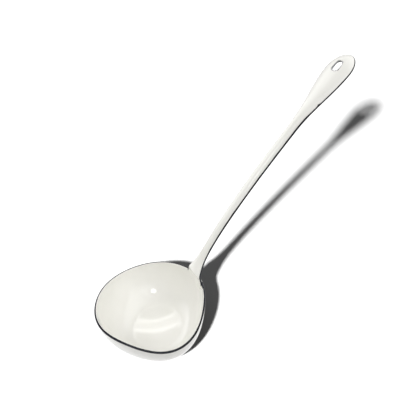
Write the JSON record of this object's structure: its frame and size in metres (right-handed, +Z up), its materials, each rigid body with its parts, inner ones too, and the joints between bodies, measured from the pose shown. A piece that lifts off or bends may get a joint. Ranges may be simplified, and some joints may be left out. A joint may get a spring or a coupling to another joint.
{
  "type": "soup ladle",
  "caption": "Soup ladle of white enamelled pressed steel with dark edges: deep oval bowl on a flat base, and a slim crowned handle that widens to a rounded end with a hanging hole.",
  "frame": {"origin": "middle of the bowl's flat base, on the surface the ladle stands on", "axes": "+Z up out of the bowl, +X from the bowl towards the handle, +Y across, with the ladle alike on both sides of the plane y = 0"},
  "size_m": [0.2375, 0.0956, 0.185],
  "materials": {
    "white_enamel": "gloss",
    "dark_enamel": "gloss",
    "steel": "satin"
  },
  "bodies": {
    "root": {"bowl_pressing": "steel", "handle_pressing": "steel", "weld_nuggets": "steel", "bowl_inner_enamel": "white_enamel", "bowl_outer_enamel": "white_enamel", "rim_edge_enamel": "dark_enamel", "handle_front_enamel": "white_enamel", "handle_back_enamel": "white_enamel", "handle_edge_enamel": "dark_enamel", "tongue_edge_enamel": "white_enamel", "hole_edge_enamel": "dark_enamel"}
  },
  "joints": []
}
